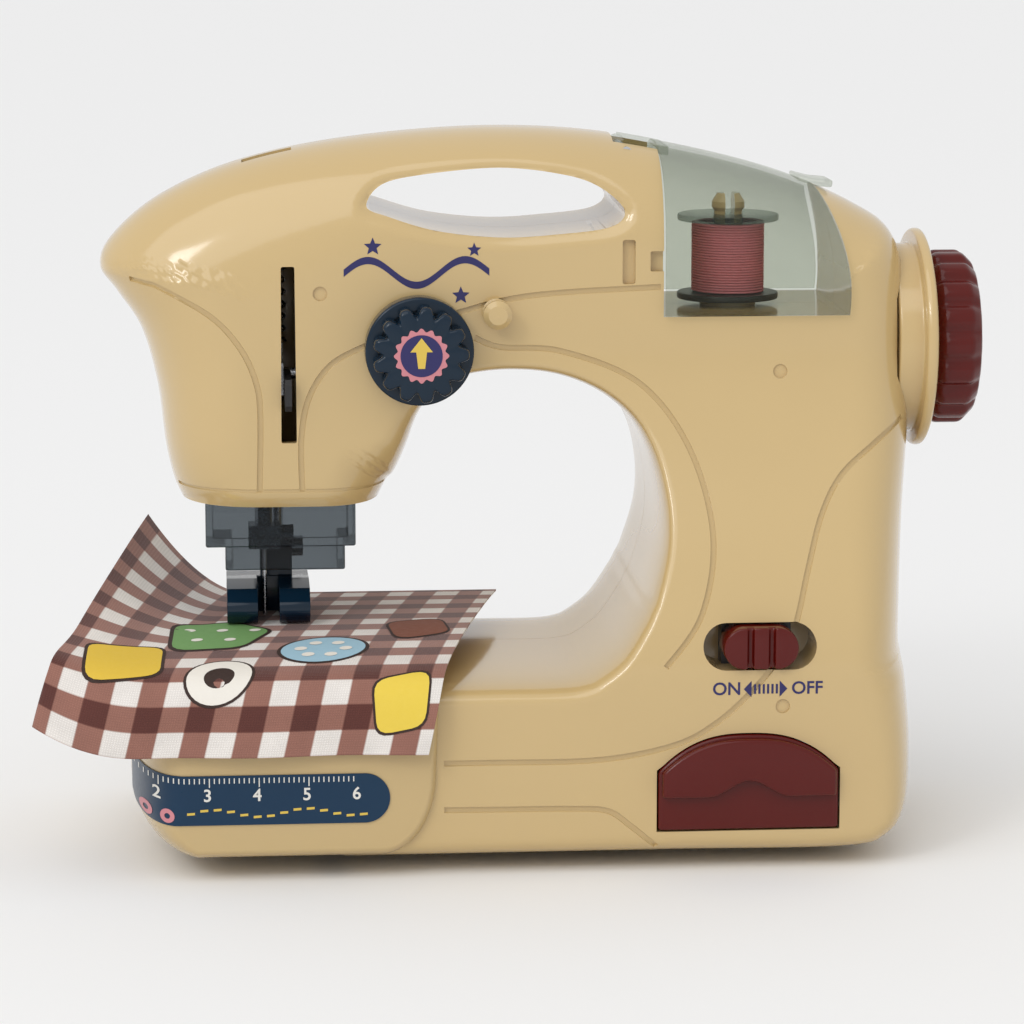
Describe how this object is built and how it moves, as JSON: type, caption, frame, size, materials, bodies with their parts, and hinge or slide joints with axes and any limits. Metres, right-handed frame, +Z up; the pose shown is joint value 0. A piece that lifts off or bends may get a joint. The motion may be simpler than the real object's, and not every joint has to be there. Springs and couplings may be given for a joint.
{
  "type": "toy_sewing_machine",
  "caption": "Toy sewing machine with carrying handle, hand wheel, presser foot, spool under a hinged clear lid, slide switch and accessory drawer, with a cloth on its bed",
  "frame": {"origin": "On the table under the machine, midway along its body and in the plane where the two shells part", "axes": "+X towards the hand wheel, -Y towards the user's side (front), +Z up"},
  "size_m": [0.1992, 0.0858, 0.1503],
  "materials": {
    "beige_abs": "glossy moulded",
    "red_abs": "glossy moulded, dark red",
    "navy_abs": "satin moulded",
    "dark_abs": "satin moulded",
    "grey_abs": "satin moulded",
    "acetal": "satin natural",
    "smoke_clear": "clear smoky moulding",
    "steel": "drawn and turned",
    "brass": "turned",
    "belt_rubber": "moulded",
    "foot_rubber": "moulded",
    "label_film": "printed film",
    "thread": "twisted polyester thread",
    "cotton_check": "woven cotton check",
    "cell_can": "sleeved cell"
  },
  "bodies": {
    "machine": {"front_shell": "beige_abs", "rear_shell": "beige_abs", "bed_cover": "beige_abs", "ruler_label": "label_film", "head_plate": "grey_abs", "needle_guard": "smoke_clear", "needle_plate": "steel", "wheel_collar": "beige_abs", "shaft_bushes": "brass", "motor": "steel", "timing_belt": "belt_rubber", "lower_bushes": "brass", "tension_stud": "steel", "thread_post": "beige_abs", "spool_pin": "beige_abs", "lid_pin": "steel", "switch_body": "dark_abs", "battery_cells": "cell_can", "battery_contacts": "brass", "battery_door": "beige_abs", "shell_screws": "steel", "rubber_feet": "foot_rubber", "practice_cloth": "cotton_check"},
    "wheel": {"hand_wheel": "red_abs", "main_shaft": "steel", "drive_gear": "acetal", "crank_disc": "steel", "upper_pulley": "dark_abs"},
    "pinion": {"motor_pinion": "brass"},
    "lower": {"lower_shaft": "steel", "lower_pulley": "dark_abs", "looper": "steel", "feed_cam": "steel"},
    "needle_set": {"needle_bar": "steel", "needle_clamp": "steel", "clamp_screw": "steel", "needle": "steel", "take_up_lever": "dark_abs"},
    "feed": {"feed_dog": "steel"},
    "lifter": {"presser_lever": "acetal"},
    "presser": {"presser_bar": "steel", "presser_foot": "navy_abs", "foot_screw": "steel", "presser_spring": "steel"},
    "dial": {"tension_dial": "navy_abs", "dial_label": "label_film"},
    "spool": {"bobbin": "smoke_clear", "bobbin_base": "dark_abs", "thread_winding": "thread"},
    "lid": {"spool_lid": "smoke_clear"},
    "switch": {"switch_knob": "red_abs"},
    "drawer": {"drawer": "red_abs"}
  },
  "joints": [
    {"name": "wheel_turn", "type": "hinge", "parent": "machine", "child": "wheel", "pos_m": [0, 0, 0.1048], "axis": [1, 0, 0], "continuous": true},
    {"name": "pinion_turn", "type": "hinge", "parent": "machine", "child": "pinion", "pos_m": [0, 0, 0.0888], "axis": [1, 0, 0], "continuous": true},
    {"name": "lower_turn", "type": "hinge", "parent": "machine", "child": "lower", "pos_m": [0, 0, 0.0249], "axis": [1, 0, 0], "continuous": true},
    {"name": "needle_slide", "type": "slide", "parent": "machine", "child": "needle_set", "axis": [0, 0, 1], "range_m": [0, 0.013]},
    {"name": "feed_slide", "type": "slide", "parent": "machine", "child": "feed", "axis": [0, 1, 0], "range_m": [-0.0015, 0.0015]},
    {"name": "lifter_turn", "type": "hinge", "parent": "machine", "child": "lifter", "pos_m": [-0.0594, 0.014, 0.0972], "axis": [0, -1, 0], "range_deg": [0, 92]},
    {"name": "presser_slide", "type": "slide", "parent": "machine", "child": "presser", "axis": [0, 0, 1], "range_m": [0, 0.0038], "deforming": ["presser_spring"]},
    {"name": "dial_turn", "type": "hinge", "parent": "machine", "child": "dial", "pos_m": [-0.0212, 0, 0.1063], "axis": [0, -1, 0], "range_deg": [-150, 150]},
    {"name": "spool_turn", "type": "hinge", "parent": "machine", "child": "spool", "pos_m": [0.046, 0, 0.1135], "axis": [0, 0, 1], "continuous": true},
    {"name": "lid_swing", "type": "hinge", "parent": "machine", "child": "lid", "pos_m": [0.023, 0, 0.14569], "axis": [0, -1, 0], "range_deg": [0, 95]},
    {"name": "switch_slide", "type": "slide", "parent": "machine", "child": "switch", "axis": [1, 0, 0], "range_m": [-0.0035, 0.0035]},
    {"name": "drawer_slide", "type": "slide", "parent": "machine", "child": "drawer", "axis": [0, -1, 0], "range_m": [0, 0.028]}
  ],
  "couplings": [
    {"joint": "pinion_turn", "follows": "wheel_turn", "ratio": -3},
    {"joint": "lower_turn", "follows": "wheel_turn", "ratio": 1},
    {"joint": "lifter_turn", "follows": "presser_slide", "rad_per_m": 411.5}
  ]
}
